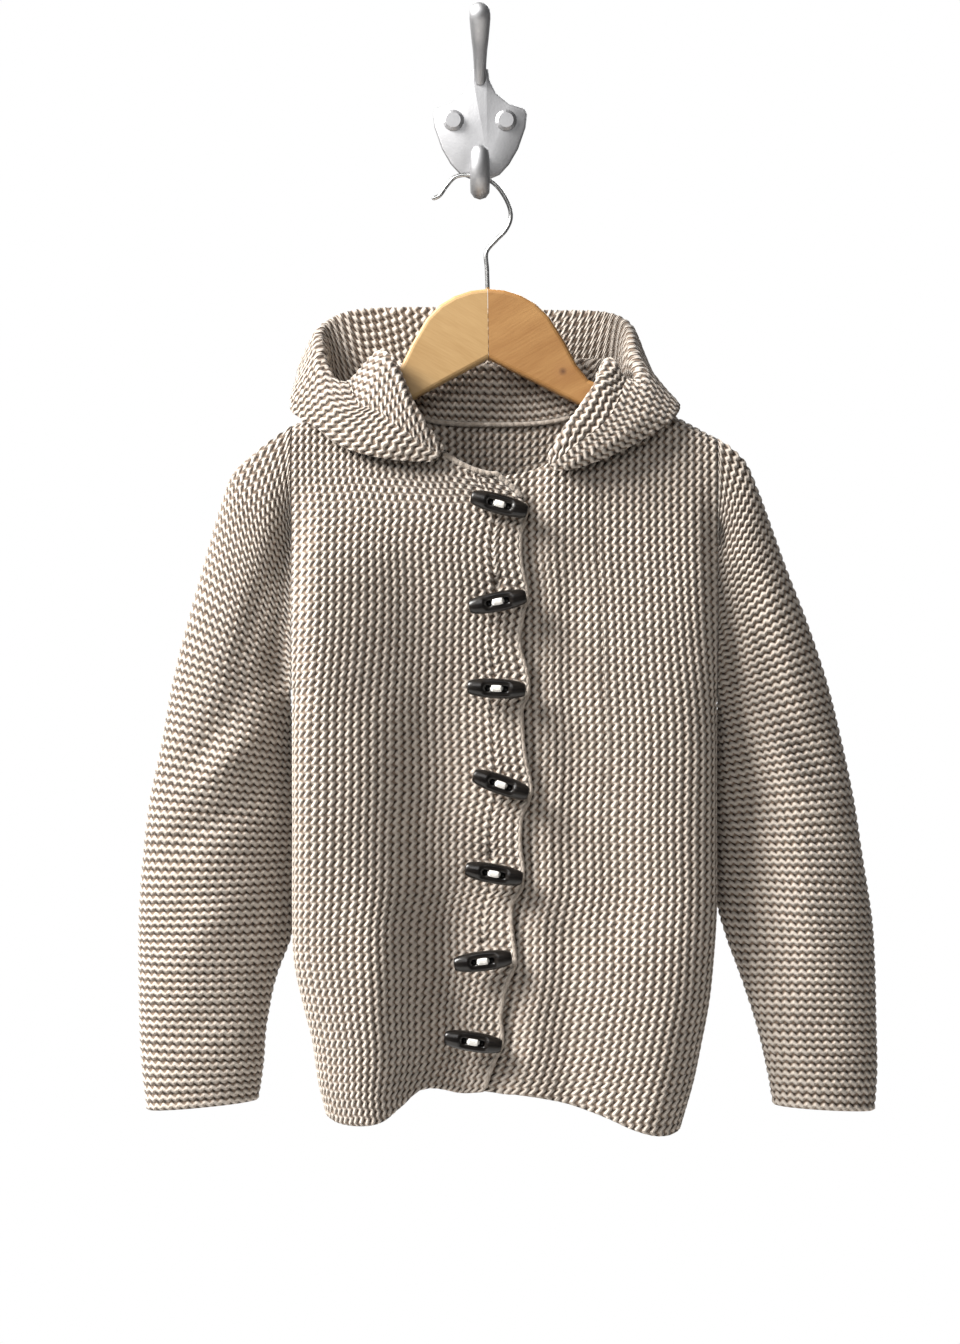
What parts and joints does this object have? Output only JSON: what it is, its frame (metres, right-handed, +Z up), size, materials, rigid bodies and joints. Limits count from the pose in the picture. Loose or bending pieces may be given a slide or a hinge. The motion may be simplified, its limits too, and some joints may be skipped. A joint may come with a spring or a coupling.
{
  "type": "hooded knitted jacket on a small hanger and wall hook",
  "caption": "Child's chunky garter-stitch hooded jacket with long dolman sleeves, hood laid back and dark toggle buttons, on a small wooden hanger that hangs from a cast wall hook.",
  "frame": {"origin": "the middle of the flat back of the wall hook's plate, on the wall", "axes": "+X to the right of somebody who looks at the front of the jacket, -Y out of the wall towards them, +Z up"},
  "size_m": [0.4456, 0.078, 0.6785],
  "materials": {
    "knit": "chunky hand-knitted wool in greige, garter stitch",
    "toggle": "near-black brown, polished",
    "wood_light": "pale varnished wood",
    "wood_warm": "warmer varnished wood",
    "hanger_wire": "plain bright wire",
    "cast_metal": "light grey cast metal, satin"
  },
  "bodies": {
    "root": {"front_right": "knit", "front_left": "knit", "back": "knit", "sleeve_right": "knit", "sleeve_left": "knit", "hood": "knit", "toggle_1": "toggle", "toggle_2": "toggle", "toggle_3": "toggle", "toggle_4": "toggle", "toggle_5": "toggle", "toggle_6": "toggle", "toggle_7": "toggle", "hanger_arm_right": "wood_light", "hanger_arm_left": "wood_warm", "hanger_hook": "hanger_wire", "wall_hook": "cast_metal", "wall_screw_1": "cast_metal", "wall_screw_2": "cast_metal"}
  },
  "joints": []
}
